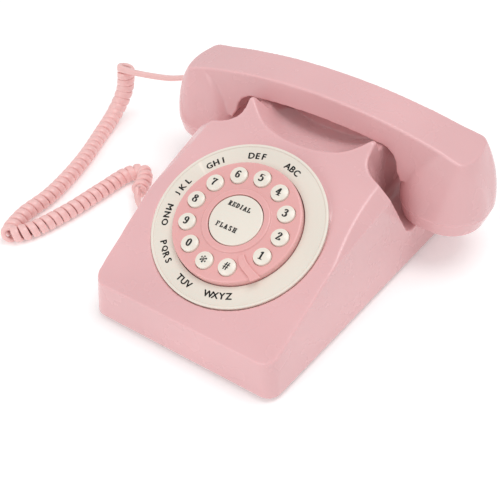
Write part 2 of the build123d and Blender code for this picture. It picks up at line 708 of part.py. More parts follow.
def handset_wires():
    y = CUP_Y
    runs = []
    for dy in (-2, 2):
        runs.append(wire(0.6, (-96.3, y + dy, 58), (-84, y + dy, 73), (-43, y + dy, 86.5), (0, y + dy, 89),
                         (43, y + dy, 86.5), (80, y + dy, 75), (88.5, y + dy, CAP_Z + 17)))
    runs.append(wire(0.6, (-96.6, y, 54.5), (-92, y, 51), (-90.5, y, CAP_Z + 13.5)))
    return runs


# ---------------------------------------------------------------- cord
def cord_path():
    """Middle line of the coil: from under the handset end, over the desk, to the base."""
    rest = CORD_R + 0.1
    return [(-190, 180, 45), (-190.5, 177, 24), (-190, 164, 9), (-184, 140, rest), (-173.5, 105, rest),
            (-166, 62, rest), (-167, 32, rest), (-160, 14.5, rest), (-150.5, 22, rest), (-140.5, 50, rest),
            (-136, 85, rest), (-131, 112, rest), (-121.5, 121, rest + 1), (-112, 113, rest + 2),
            (-107.5, 98, rest + 3)]


def coil_cord():
    """Coiled cord with a straight lead at each end."""
    path = Spline(*cord_path())
    body = sweep(Plane(path @ 0, z_dir=path % 0) * Circle(CORD_R), path=path)
    y = CUP_Y + 0.5
    mouth = HANDSET_X + SOCKET_X - 5.9
    upper = wire(LEAD_R, (-186, 180, 42), (-172, 179.5, 42.5), (-142, 177.5, 50.5), (mouth, y, SOCKET_Z))
    lower = wire(LEAD_R, (-107.7, 99, 9), (-104, 92, 10.5), (-96, 86, 12.5), (-86.3, WALL_JACK_Y, 13))
    return body + upper + lower


def cord_plug(length, tail):
    """Modular plug pointing along +X, with its nose at x = 0."""
    body = block(-length, 0, -2.8, 2.8, -2.3, 2.3)
    body += block(-length - 3, -length + 0.5, -2.3, 2.3, -1.9, 1.9)
    boot = Pos(-length - 3 - tail / 2, 0, 0) * (Rot(0, 90, 0) * Cylinder(1.7, tail))
    return body + boot


def base_plug():
    mouth = side_half_width(WALL_JACK_Y, 13.5)
    return Pos(-mouth + 8, WALL_JACK_Y, 13) * cord_plug(15, 3.5)


def handset_plug():
    return Pos(SOCKET_X + 13.5, CUP_Y + 0.5, SOCKET_Z) * cord_plug(12, 3)


def wiring_loom():
    """Leads from the main board to the face, the speaker, the hook switch and the jacks."""
    runs = [wire(0.7, (-30, 120, 20.8), (-22, 100, 32), (-12, 80, 42), (-6, 64, DIAL_Z - 11)),
            wire(0.7, (-30, 114.6, 17), (-36, 96, 18), (-54, 75, 14), (-34, 46, 14), (-21.5, 38, 14.5)),
            wire(0.7, (0, 132, 17.8), (0, 148, 22), (0, 160, 35), (0, 165.5, 40), (0, 169.9, 39)),
            wire(0.7, (-40, 112, 15.2), (-48, 100, 17), (-54, 90, 15), (-58.2, 84, 14)),
            wire(0.7, (31.5, 126, 18), (48, 140, 20), (40, 185, 16), (30, 200.8, 14))]
    return runs


# ---------------------------------------------------------------- write every piece
save("upper_housing", upper_housing())
save("base_plate", base_plate())
save("rubber_feet", rubber_feet())
save("housing_screws", housing_screws())
save("ballast_weight", ballast_weight())
save("ballast_screws", ballast_screws())
save("letter_ring", letter_ring())
save("dial_face", dial_face())
save("finger_stop", finger_stop())
KEY_NAMES = ["1", "2", "3", "4", "5", "6", "7", "8", "9", "0", "star", "hash"]
for key_name, key_angle in zip(KEY_NAMES, key_angles()):
    save(f"key_{key_name}", key(key_angle))
save("centre_rocker", centre_rocker())
save("rocker_pin", rocker_pin())
save("keypad_mat", keypad_mat())
save("keypad_board", keypad_board())
save("keypad_screws", keypad_screws())
save("face_screws", face_screws())
save("main_board", main_board())
save("board_components", board_components())
save("board_screws", board_screws())
save("ringer_speaker", ringer_speaker())
save("speaker_gasket", speaker_gasket())
save("hook_bracket", hook_bracket())
save("bracket_screws", bracket_screws())
save("hook_yoke", hook_yoke())
save("hook_springs", hook_springs())
save("hook_switch", hook_switch())
save("handset_jack", handset_jack())
save("line_jack", line_jack())
save("ringer_knob", slide_knob(-23.0, 6.0))
save("ringer_switch", switch_body(-20))
save("tone_knob", slide_knob(-51.5, 4.0))
save("tone_switch", switch_body(-50))
save("wiring_loom", wiring_loom())
save_handset("handset_body", handset_body())
save_handset("mouthpiece_cap", cap_shell(-1))
save_handset("earpiece_cap", cap_shell(1))
save_handset("microphone_capsule", capsule(-1, 5))
save_handset("receiver_capsule", capsule(1, 8))
save_handset("capsule_gaskets", capsule_gaskets())
save_handset("handset_weight", handset_weight())
save_handset("handset_socket", handset_socket())
save_handset("handset_wires", handset_wires())
save_handset("handset_plug", handset_plug())
save("base_plug", base_plug())
save("coil_cord", coil_cord())
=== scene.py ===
import json
import math

import bmesh
import bpy
import numpy as np
from mathutils import Matrix, Vector


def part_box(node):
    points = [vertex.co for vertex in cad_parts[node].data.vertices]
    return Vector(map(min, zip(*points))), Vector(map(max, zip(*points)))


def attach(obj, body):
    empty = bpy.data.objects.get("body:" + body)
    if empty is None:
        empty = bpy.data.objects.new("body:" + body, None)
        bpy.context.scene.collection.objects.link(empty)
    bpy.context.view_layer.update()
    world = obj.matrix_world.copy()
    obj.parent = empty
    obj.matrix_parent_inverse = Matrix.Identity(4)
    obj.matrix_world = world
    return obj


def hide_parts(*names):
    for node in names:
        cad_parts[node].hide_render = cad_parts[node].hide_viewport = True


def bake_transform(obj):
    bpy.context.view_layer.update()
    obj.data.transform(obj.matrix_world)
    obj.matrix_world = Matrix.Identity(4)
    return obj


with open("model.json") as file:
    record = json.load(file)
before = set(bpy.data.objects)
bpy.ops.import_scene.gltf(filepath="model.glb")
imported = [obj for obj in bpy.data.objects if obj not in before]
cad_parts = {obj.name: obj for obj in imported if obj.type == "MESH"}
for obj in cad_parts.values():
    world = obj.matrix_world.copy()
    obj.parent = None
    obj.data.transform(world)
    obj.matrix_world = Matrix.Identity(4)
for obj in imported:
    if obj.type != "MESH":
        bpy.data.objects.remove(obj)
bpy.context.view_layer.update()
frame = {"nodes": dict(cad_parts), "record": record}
MM = 0.001

# ---------------------------------------------------------------- places taken from the frame
SLOPE = math.radians(24.0)
X_AXIS = Vector((1, 0, 0))
UP_SLOPE = Vector((0, math.cos(SLOPE), math.sin(SLOPE)))
NORMAL = Vector((0, -math.sin(SLOPE), math.cos(SLOPE)))
FRONT_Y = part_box("upper_housing")[0].y


BOX_TO_PLANE = 0.385  # mm along the slope's normal, from the middle of the ring's box to the dial plane


def dial_centre():
    """Middle of the dial on the sloping face; heights on the dial are measured from there."""
    low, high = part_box("letter_ring")
    return (low + high) / 2 + NORMAL * BOX_TO_PLANE * MM


DIAL = Matrix.Translation(dial_centre()) @ Matrix((X_AXIS, UP_SLOPE, NORMAL)).transposed().to_4x4()


# ---------------------------------------------------------------- node materials
class Nodes:
    """Short hand for building one material's node tree."""

    def __init__(self, name):
        self.material = bpy.data.materials.new(name)
        self.material.use_nodes = True
        self.tree = self.material.node_tree
        self.shader = self.tree.nodes["Principled BSDF"]
        coords = self.tree.nodes.new("ShaderNodeTexCoord")
        self.place = coords.outputs["Object"]

    def set(self, **values):
        for key, value in values.items():
            self.shader.inputs[key.replace("_", " ")].default_value = value

    def link(self, output, key):
        self.tree.links.new(output, self.shader.inputs[key.replace("_", " ")])

    def noise(self, scale, detail=3.0):
        node = self.tree.nodes.new("ShaderNodeTexNoise")
        node.inputs["Scale"].default_value = scale
        node.inputs["Detail"].default_value = detail
        self.tree.links.new(self.place, node.inputs["Vector"])
        return node.outputs["Fac"]

    def spread(self, output, low, high, start=0.3, end=0.7):
        node = self.tree.nodes.new("ShaderNodeMapRange")
        node.inputs["From Min"].default_value = start
        node.inputs["From Max"].default_value = end
        node.inputs["To Min"].default_value = low
        node.inputs["To Max"].default_value = high
        self.tree.links.new(output, node.inputs["Value"])
        return node.outputs["Result"]

    def mix(self, factor, first, second):
        node = self.tree.nodes.new("ShaderNodeMix")
        node.data_type = "RGBA"
        for socket, value in (("A", first), ("B", second)):
            target = [s for s in node.inputs if s.name == socket and s.type == "RGBA"][0]
            if isinstance(value, tuple):
                target.default_value = (*value, 1.0)
            else:
                self.tree.links.new(value, target)
        self.tree.links.new(factor, node.inputs["Factor"])
        return [s for s in node.outputs if s.type == "RGBA"][0]

    def edges(self):
        """Where the surface is convex, from Cycles' pointiness; the mask for the painted highlight along
        edges and creases.
        """
        geometry = self.tree.nodes.new("ShaderNodeNewGeometry")
        return self.spread(geometry.outputs["Pointiness"], 0.0, 1.0, 0.5, 0.56)

    def bump(self, output, strength, distance=0.0002):
        node = self.tree.nodes.new("ShaderNodeBump")
        node.inputs["Strength"].default_value = strength
        node.inputs["Distance"].default_value = distance
        self.tree.links.new(output, node.inputs["Height"])
        self.tree.links.new(node.outputs["Normal"], self.shader.inputs["Normal"])


def linear(red, green, blue):
    """sRGB bytes to linear values."""
    out = []
    for value in (red, green, blue):
        v = value / 255
        out.append(v / 12.92 if v <= 0.04045 else ((v + 0.055) / 1.055) ** 2.4)
    return tuple(out)


def tint(colour, factor):
    return tuple(min(1.0, c * factor) for c in colour)


def gloss_plastic(name, colour, roughness=0.26, grain=0.05):
    """Moulded ABS: faint flow marks in the colour, uneven sheen, a painted highlight of paler colour along
    convex edges, orange peel.
    """
    n = Nodes(name)
    flow = n.spread(n.noise(18.0, 2.0), 0.0, 1.0)
    body = n.mix(flow, tint(colour, 0.965), tint(colour, 1.03))
    # painted highlight: convex edges and creases get a paler colour, standing in for the light caught along
    # them
    n.link(n.mix(n.edges(), body, tint(colour, 1.13)), "Base_Color")
    n.link(n.spread(n.noise(45.0, 4.0), roughness - 0.03, roughness + 0.04), "Roughness")
    n.set(Subsurface_Weight=0.06, Subsurface_Scale=0.002, Coat_Weight=0.25, Coat_Roughness=0.12,
          Specular_IOR_Level=0.5)
    n.shader.inputs["Subsurface Radius"].default_value = (1.0, 0.45, 0.4)
    n.bump(n.noise(900.0, 2.0), grain)
    return n.material


def matt_plastic(name, colour, roughness=0.5, scale=1800.0, grain=0.25):
    """Spark-textured or soft plastic."""
    n = Nodes(name)
    n.link(n.mix(n.noise(60.0, 3.0), tint(colour, 0.9), tint(colour, 1.1)), "Base_Color")
    n.link(n.spread(n.noise(200.0, 2.0), roughness - 0.06, roughness + 0.06), "Roughness")
    n.bump(n.noise(scale, 3.0), grain)
    return n.material


def metal(name, colour, roughness=0.3, stretch=40.0):
    """Plated or brushed metal with fine directional scratches."""
    n = Nodes(name)
    mapping = n.tree.nodes.new("ShaderNodeMapping")
    mapping.inputs["Scale"].default_value = (1.0, stretch, 1.0)
    n.tree.links.new(n.place, mapping.inputs["Vector"])
    n.place = mapping.outputs["Vector"]
    grain = n.noise(120.0, 4.0)
    n.link(n.mix(grain, tint(colour, 0.85), tint(colour, 1.1)), "Base_Color")
    n.link(n.spread(grain, roughness - 0.08, roughness + 0.12), "Roughness")
    n.set(Metallic=1.0)
    n.bump(grain, 0.08)
    return n.material


def ink(name):
    """Printed black: slightly uneven, satin."""
    n = Nodes(name)
    n.link(n.mix(n.noise(700.0, 3.0), (0.006, 0.006, 0.006), (0.016, 0.015, 0.014)), "Base_Color")
    n.link(n.spread(n.noise(400.0, 2.0), 0.38, 0.5), "Roughness")
    return n.material


def clear_plastic(name):
    """Clear polycarbonate of a modular plug."""
    n = Nodes(name)
    n.link(n.mix(n.noise(90.0, 2.0), (0.80, 0.82, 0.80), (0.9, 0.9, 0.88)), "Base_Color")
    n.link(n.spread(n.noise(200.0, 2.0), 0.08, 0.16), "Roughness")
    n.set(Transmission_Weight=0.75, IOR=1.58)
    return n.material


def circuit_board(name):
    """Solder mask over copper tracks."""
    n = Nodes(name)
    wave = n.tree.nodes.new("ShaderNodeTexWave")
    wave.inputs["Scale"].default_value = 90.0
    wave.inputs["Distortion"].default_value = 3.0
    n.tree.links.new(n.place, wave.inputs["Vector"])
    tracks = n.spread(wave.outputs["Fac"], 0.0, 1.0, 0.55, 0.6)
    n.link(n.mix(tracks, (0.012, 0.11, 0.04), (0.02, 0.2, 0.07)), "Base_Color")
    n.set(Roughness=0.32)
    n.bump(tracks, 0.1)
    return n.material


def foam(name):
    n = Nodes(name)
    cells = n.tree.nodes.new("ShaderNodeTexVoronoi")
    cells.inputs["Scale"].default_value = 1500.0
    n.tree.links.new(n.place, cells.inputs["Vector"])
    n.link(n.mix(cells.outputs["Distance"], (0.02, 0.02, 0.02), (0.07, 0.07, 0.07)), "Base_Color")
    n.set(Roughness=0.95)
    n.bump(cells.outputs["Distance"], 0.6)
    return n.material


PINK = linear(229, 180, 182)
MATERIALS = {
    "shell_pink": gloss_plastic("shell_pink", PINK),
    "face_pink": gloss_plastic("face_pink", linear(231, 172, 170), 0.26),
    "ring_cream": gloss_plastic("ring_cream", linear(231, 223, 211), 0.33),
    "key_cream": gloss_plastic("key_cream", linear(236, 228, 216), 0.24),
    "cord_pink": gloss_plastic("cord_pink", linear(234, 189, 186), 0.34, 0.1),
    "base_dark": matt_plastic("base_dark", tint(PINK, 0.85)),
    "black_plastic": matt_plastic("black_plastic", (0.022, 0.022, 0.024), 0.42),
    "clear_plastic": clear_plastic("clear_plastic"),
    "rubber_grey": matt_plastic("rubber_grey", (0.28, 0.24, 0.24), 0.75, 900.0, 0.35),
    "mat_rubber": matt_plastic("mat_rubber", (0.5, 0.5, 0.48), 0.7, 900.0, 0.3),
    "board_green": circuit_board("board_green"),
    "steel": metal("steel", (0.62, 0.62, 0.63)),
    "brass_wire": metal("brass_wire", (0.72, 0.55, 0.28), 0.25),
    "wire_red": matt_plastic("wire_red", (0.45, 0.05, 0.04), 0.4),
    "foam_grey": foam("foam_grey"),
    "ink": ink("ink"),
}
NODE_SLOT = {s["node"]: s["material_slot"] for s in frame["record"]["subparts"]}
NODE_BODY = {n: b for b, ns in frame["record"]["behaviour"]["bodies"].items() for n in ns}


# ---------------------------------------------------------------- mesh helpers
def add_object(name, mesh, material):
    obj = bpy.data.objects.new(name, mesh)
    bpy.context.scene.collection.objects.link(obj)
    obj.data.materials.clear()
    obj.data.materials.append(MATERIALS[material])
    for polygon in obj.data.polygons:
        polygon.use_smooth = True
    return obj


def mesh_from(name, points, faces):
    mesh = bpy.data.meshes.new(name)
    mesh.from_pydata([tuple(p) for p in points], [], faces)
    mesh.validate()
    work = bmesh.new()
    work.from_mesh(mesh)
    bmesh.ops.recalc_face_normals(work, faces=work.faces)
    work.to_mesh(mesh)
    work.free()
    return mesh


def apply_modifiers(obj):
    """Turns an object's modifiers into its mesh."""
    bpy.context.view_layer.update()
    graph = bpy.context.evaluated_depsgraph_get()
    mesh = bpy.data.meshes.new_from_object(obj.evaluated_get(graph))
    obj.modifiers.clear()
    obj.data = mesh
    for polygon in mesh.polygons:
        polygon.use_smooth = True
    return obj


def stand_for(obj, node):
    """obj is shown in place of a CAD node and rides on its body."""
    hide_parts(node)
    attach(obj, NODE_BODY[node])
    return obj


def soften(node, name, voxel, passes, keep=1.0, place=None):
    """A moulded shell: the CAD form remeshed finely, with its edges rounded off by smoothing.

    keep is the share of faces left at the end; place is the frame whose axes the voxels follow.
    """
    source = frame["nodes"][node]
    mesh = source.data.copy()
    if place is not None:
        mesh.transform(place.inverted())
    work = bmesh.new()
    work.from_mesh(mesh)
    bmesh.ops.remove_doubles(work, verts=work.verts, dist=1e-7)
    work.to_mesh(mesh)
    work.free()
    obj = add_object(name, mesh, NODE_SLOT[node])
    remesh = obj.modifiers.new("fine", "REMESH")
    remesh.mode = "VOXEL"
    remesh.voxel_size = voxel * MM * 1.0
    smooth = obj.modifiers.new("round", "SMOOTH")
    smooth.factor = 0.5
    smooth.iterations = passes
    if keep < 1.0:
        fewer = obj.modifiers.new("fewer", "DECIMATE")
        fewer.ratio = keep
    apply_modifiers(obj)
    if place is not None:
        obj.data.transform(place)
    return stand_for(obj, node)


def lathe(name, outline, material, place, segments=128):
    """Closed outline of (radius, height) points in mm, turned about its own axis."""
    points, faces = [], []
    count = len(outline)
    for i in range(segments):
        angle = 2 * math.pi * i / segments
        for radius, height in outline:
            points.append(place @ Vector((radius * MM * math.cos(angle), radius * MM * math.sin(angle),
                                          height * MM)))
    for i in range(segments):
        nxt = (i + 1) % segments
        for j in range(count):
            k = (j + 1) % count
            faces.append((i * count + j, nxt * count + j, nxt * count + k, i * count + k))
    mesh = mesh_from(name, points, faces)
    work = bmesh.new()
    work.from_mesh(mesh)
    bmesh.ops.remove_doubles(work, verts=work.verts, dist=1e-7)
    bmesh.ops.recalc_face_normals(work, faces=work.faces)
    work.to_mesh(mesh)
    work.free()
    return add_object(name, mesh, material)


# ---------------------------------------------------------------- moulded shells
# CAD node, piece, voxel in mm, smoothing passes
SHELLS = [
    ("upper_housing", "housing_shell", 0.72, 10),
    ("handset_body", "handset_shell", 0.6, 14),
    ("mouthpiece_cap", "mouthpiece_cap_shell", 0.45, 6),
    ("earpiece_cap", "earpiece_cap_shell", 0.45, 6),
]
SHELL_KEEP = 0.5
SEAM_STEPS = 180
SEAM_R = 1.0
SEAM_INSET = 1.1        # of the bead's middle line from the cap's widest outline
SEAM_BELOW_TOP = 2.6
CAP_SQUARENESS = 2.25   # exponent of the cap's outline; 2 would be an ellipse


def make_shells():
    for node, name, voxel, passes in SHELLS:
        soften(node, name, voxel, passes, SHELL_KEEP)


def make_seam_bands():
    """A fine bead of the shells' plastic that closes most of the groove between cup and cap."""
    angles = np.linspace(0, 2 * math.pi, SEAM_STEPS + 1)
    c, s = np.cos(angles), np.sin(angles)
    swell = (np.abs(c) ** CAP_SQUARENESS + np.abs(s) ** CAP_SQUARENESS) ** (-1 / CAP_SQUARENESS)
    radius = np.full(len(angles), SEAM_R)
    for cap in ("mouthpiece_cap", "earpiece_cap"):
        low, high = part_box(cap)
        middle = (low + high) / 2 / MM
        half = (high - low) / 2 / MM
        x = middle.x + (half.x - SEAM_INSET) * swell * c
        y = middle.y + (half.y - SEAM_INSET) * swell * s
        z = np.full(len(angles), high.z / MM - SEAM_BELOW_TOP)
        band = swept_tube(cap + "_seam", np.column_stack([x, y, z]), radius, radius, "shell_pink", 10)
        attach(band, "handset")


# ---------------------------------------------------------------- cord
SPAN_SAMPLES = 40


def spline_points(points, count):
    """Centripetal Catmull-Rom curve through points, sampled at even arc length."""
    pts = np.array(points, float)
    pts = np.vstack([2 * pts[0] - pts[1], pts, 2 * pts[-1] - pts[-2]])
    out = []
    for i in range(1, len(pts) - 2):
        p0, p1, p2, p3 = pts[i - 1:i + 3]
        t0 = 0.0
        t1 = t0 + np.linalg.norm(p1 - p0) ** 0.5
        t2 = t1 + np.linalg.norm(p2 - p1) ** 0.5
        t3 = t2 + np.linalg.norm(p3 - p2) ** 0.5
        for t in np.linspace(t1, t2, SPAN_SAMPLES, endpoint=False):
            a1 = (t1 - t) / (t1 - t0) * p0 + (t - t0) / (t1 - t0) * p1
            a2 = (t2 - t) / (t2 - t1) * p1 + (t - t1) / (t2 - t1) * p2
            a3 = (t3 - t) / (t3 - t2) * p2 + (t - t2) / (t3 - t2) * p3
            b1 = (t2 - t) / (t2 - t0) * a1 + (t - t0) / (t2 - t0) * a2
            b2 = (t3 - t) / (t3 - t1) * a2 + (t - t1) / (t3 - t1) * a3
            out.append((t2 - t) / (t2 - t1) * b1 + (t - t1) / (t2 - t1) * b2)
    out.append(pts[-2])
    out = np.array(out)
    steps = np.r_[0, np.cumsum(np.linalg.norm(np.diff(out, axis=0), axis=1))]
    even = np.linspace(0, steps[-1], count)
    return np.column_stack([np.interp(even, steps, out[:, k]) for k in range(3)]), steps[-1]


def carried_frames(path):
    """Directions along and across a path that turn as little as possible."""
    tangents = np.gradient(path, axis=0)
    tangents /= np.linalg.norm(tangents, axis=1)[:, None]
    side = np.cross(tangents[0], (0.0, 0.0, 1.0))
    if np.linalg.norm(side) < 0.1:
        side = np.cross(tangents[0], (1.0, 0.0, 0.0))
    side /= np.linalg.norm(side)
    sides = [side]
    for t in tangents[1:]:
        side = side - t * (side @ t)
        side = side / np.linalg.norm(side)
        sides.append(side)
    sides = np.array(sides)
    return tangents, sides, np.cross(tangents, sides)


# Middle line of the coil in mm from the housing's front edge, from the handset's end to the base's end
COIL_PATH = [
    (-184.5, 180.5, 42), (-185.5, 177, 24), (-186.5, 164, 10), (-181, 140, 6.2), (-170.5, 105, 6.2),
    (-164.5, 66, 6.2), (-165.5, 39, 6.2), (-160, 21.5, 6.2), (-151.5, 29.5, 6.2), (-142, 59, 6.2),
    (-137, 90, 6.2), (-132.5, 114, 6.2), (-125, 121, 7.0), (-117.5, 114, 8), (-112, 100, 8.9),
]
COIL_PITCH = 5.7
COIL_MEAN_R = 4.1
COIL_SWELL = 0.25       # extra radius at the handset's end, as a share, gone after COIL_SWELL_LENGTH
COIL_SWELL_LENGTH = 70
WIRE_ALONG = 2.72       # half widths of the flat wire, along and across the coil
WIRE_ACROSS = 1.7
WIRE_THINNING = 0.16    # taken off WIRE_ALONG on the strand that runs to the base
WIRE_SIDES = 12
LEAD_R = 2.0
LEAD_TAPER = 8          # path steps over which a lead turns into the flat wire
SQUARENESS = 0.6        # of the wire's section; 1 would be an ellipse
FOLLOWS_HANDSET = 0.55  # share of the cord's length, from the handset's end, over which the weight in make_cord falls to nothing


def coil_centres():
    """The coiled wire's middle line in mm, turned so that the handset's lead runs in straight."""
    _, length = spline_points(COIL_PATH, 50)
    turns = round(length / COIL_PITCH)
    per_turn = 26
    count = turns * per_turn + 1
    axis, _ = spline_points(COIL_PATH, count)
    _, sides, ups = carried_frames(axis)
    arrival = np.array((-1.0, 0.0, 0.0))
    phase = math.atan2(-sides[0] @ arrival, ups[0] @ arrival)
    angle = phase + 2 * math.pi * np.arange(count) / per_turn
    spread = 1 + COIL_SWELL * np.clip(1 - np.linspace(0, length, count) / COIL_SWELL_LENGTH, 0, 1)
    ring = np.cos(angle)[:, None] * sides + np.sin(angle)[:, None] * ups
    return axis + (COIL_MEAN_R * spread)[:, None] * ring


def swept_tube(name, centres, along, across, material, ring, guide=None):
    """Tube along a line; its section is a rounded oblong, 'along' wide in the guide's direction."""
    tangents = np.gradient(centres, axis=0)
    tangents /= np.linalg.norm(tangents, axis=1)[:, None]
    if guide is None:
        _, sides, ups = carried_frames(centres)
    else:
        sides = guide - tangents * np.sum(guide * tangents, axis=1)[:, None]
        sides /= np.linalg.norm(sides, axis=1)[:, None]
        ups = np.cross(tangents, sides)
    angles = 2 * math.pi * np.arange(ring) / ring
    c, s = np.cos(angles), np.sin(angles)
    u = np.sign(c) * np.abs(c) ** SQUARENESS
    v = np.sign(s) * np.abs(s) ** SQUARENESS
    points = (centres[:, None, :] + along[:, None, None] * u[None, :, None] * sides[:, None, :]
              + across[:, None, None] * v[None, :, None] * ups[:, None, :])
    n = len(centres)
    faces = []
    for i in range(n - 1):
        for j in range(ring):
            k = (j + 1) % ring
            faces.append((i * ring + j, i * ring + k, (i + 1) * ring + k, (i + 1) * ring + j))
    faces.append(tuple(range(ring))[::-1])
    faces.append(tuple(range((n - 1) * ring, n * ring)))
    mesh = mesh_from(name, points.reshape(-1, 3) * MM, faces)
    return add_object(name, mesh, material)


def plug_end(node, front_y):
    """Left end of a plug in mm, with y measured from the housing's front edge."""
    low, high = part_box(node)
    return low.x / MM, (low.y + high.y) / 2 / MM - front_y, (low.z + high.z) / 2 / MM


def make_cord():
    shift = np.array((0.0, FRONT_Y / MM, 0.0))
    coil = coil_centres()
    plug_x, plug_y, plug_z = plug_end("handset_plug", shift[1])
    jack_x, jack_y, jack_z = plug_end("base_plug", shift[1])
    upper = [(plug_x - 0.2, plug_y, plug_z), (-140, plug_y + 1, 49.5), tuple(coil[2] + (15, 0, 1.5))]
    lower = [(-107, 94, 10.0), (-100, 87.5, 11.5), (-93, jack_y + 1, 12.6), (jack_x - 0.2, jack_y, jack_z)]
    lead_in, _ = spline_points(upper + [tuple(coil[2])], 30)
    lead_out, _ = spline_points([tuple(coil[-3])] + lower, 24)
    centres = np.vstack([lead_in[:-1], coil[2:-2], lead_out[1:]])
    n_in, n_out = len(lead_in) - 1, len(lead_out) - 1
    count = len(centres)
    flat = np.ones(count)
    flat[:n_in] = np.clip((np.arange(n_in) - n_in + LEAD_TAPER) / LEAD_TAPER, 0, 1)
    flat[count - n_out:] = np.clip((LEAD_TAPER - np.arange(n_out)) / LEAD_TAPER, 0, 1)
    towards_base = np.clip((np.arange(count) / count - 0.45) / 0.1, 0, 1)
    along = LEAD_R + (WIRE_ALONG - WIRE_THINNING * towards_base - LEAD_R) * flat
    across = LEAD_R + (WIRE_ACROSS - LEAD_R) * flat
    axis, _ = spline_points(COIL_PATH, len(coil))
    tangents, _, _ = carried_frames(axis)
    first, last = np.repeat(tangents[:1], n_in, 0), np.repeat(tangents[-1:], n_out, 0)
    guide = np.vstack([first, tangents[2:-2], last])
    cord = swept_tube("coiled_cord", centres + shift, along, across, "cord_pink", WIRE_SIDES, guide)
    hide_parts("coil_cord")
    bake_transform(cord)
    travelled = np.r_[0, np.cumsum(np.linalg.norm(np.diff(centres, axis=0), axis=1))]
    weight = np.clip(1 - travelled / (FOLLOWS_HANDSET * travelled[-1]), 0, 1)
    weight = weight * weight * (3 - 2 * weight)


# ---------------------------------------------------------------- dial
KEY_TOP = 7.3
KEY_DOME_R = 14.0
KEY_CIRCLE_R = 30.6
ROCKER_TOP = 7.0
ROCKER_DOME_R = 110.0
FIRST_KEY_BEARING = -27.0
KEY_STEP = 29.0
FIGURE_HEIGHT = 5.0
FIGURE_PEN = (0.62, 0.24)
HASH_PEN = (0.4, 0.24)
STAR_R = 2.35
WORD_PEN = (0.5, 0.2)
RING_OUT_R = 55.0
RING_IN_R = 40.9
RING_FOOT = -1.95
RING_RIM_TOP = 1.4
RING_RIM_R = 53.5
RING_TOP = 0.7
INK_LIFT = 0.03
WORD_LIFT = 0.09
LETTER_R = 47.0
LETTER_HEIGHT = 4.0
LETTER_WEIGHT = [(0, 0), (0.23, 0), (-0.23, 0), (0, 0.17), (0, -0.17)]  # copies that make a letter bolder
WORD_HEIGHT = 3.0
WORD_NARROWING = 0.84
# Letters of each group, the bearing of its middle, the step between letters; a positive step
# reads counter-clockwise, with the tops of the letters towards the middle of the dial.
LETTER_GROUPS = [("ABC", 75, -4.8), ("DEF", 106, -5.0), ("GHI", 139, -5.7), ("JKL", 170.7, -6.3),
                 ("MNO", 195.8, 6.4), ("PQRS", 227.2, 5.3), ("TUV", 257.2, 4.8), ("WXYZ", 287.3, 5.2)]
KEYS = ["1", "2", "3", "4", "5", "6", "7", "8", "9", "0", "star", "hash"]

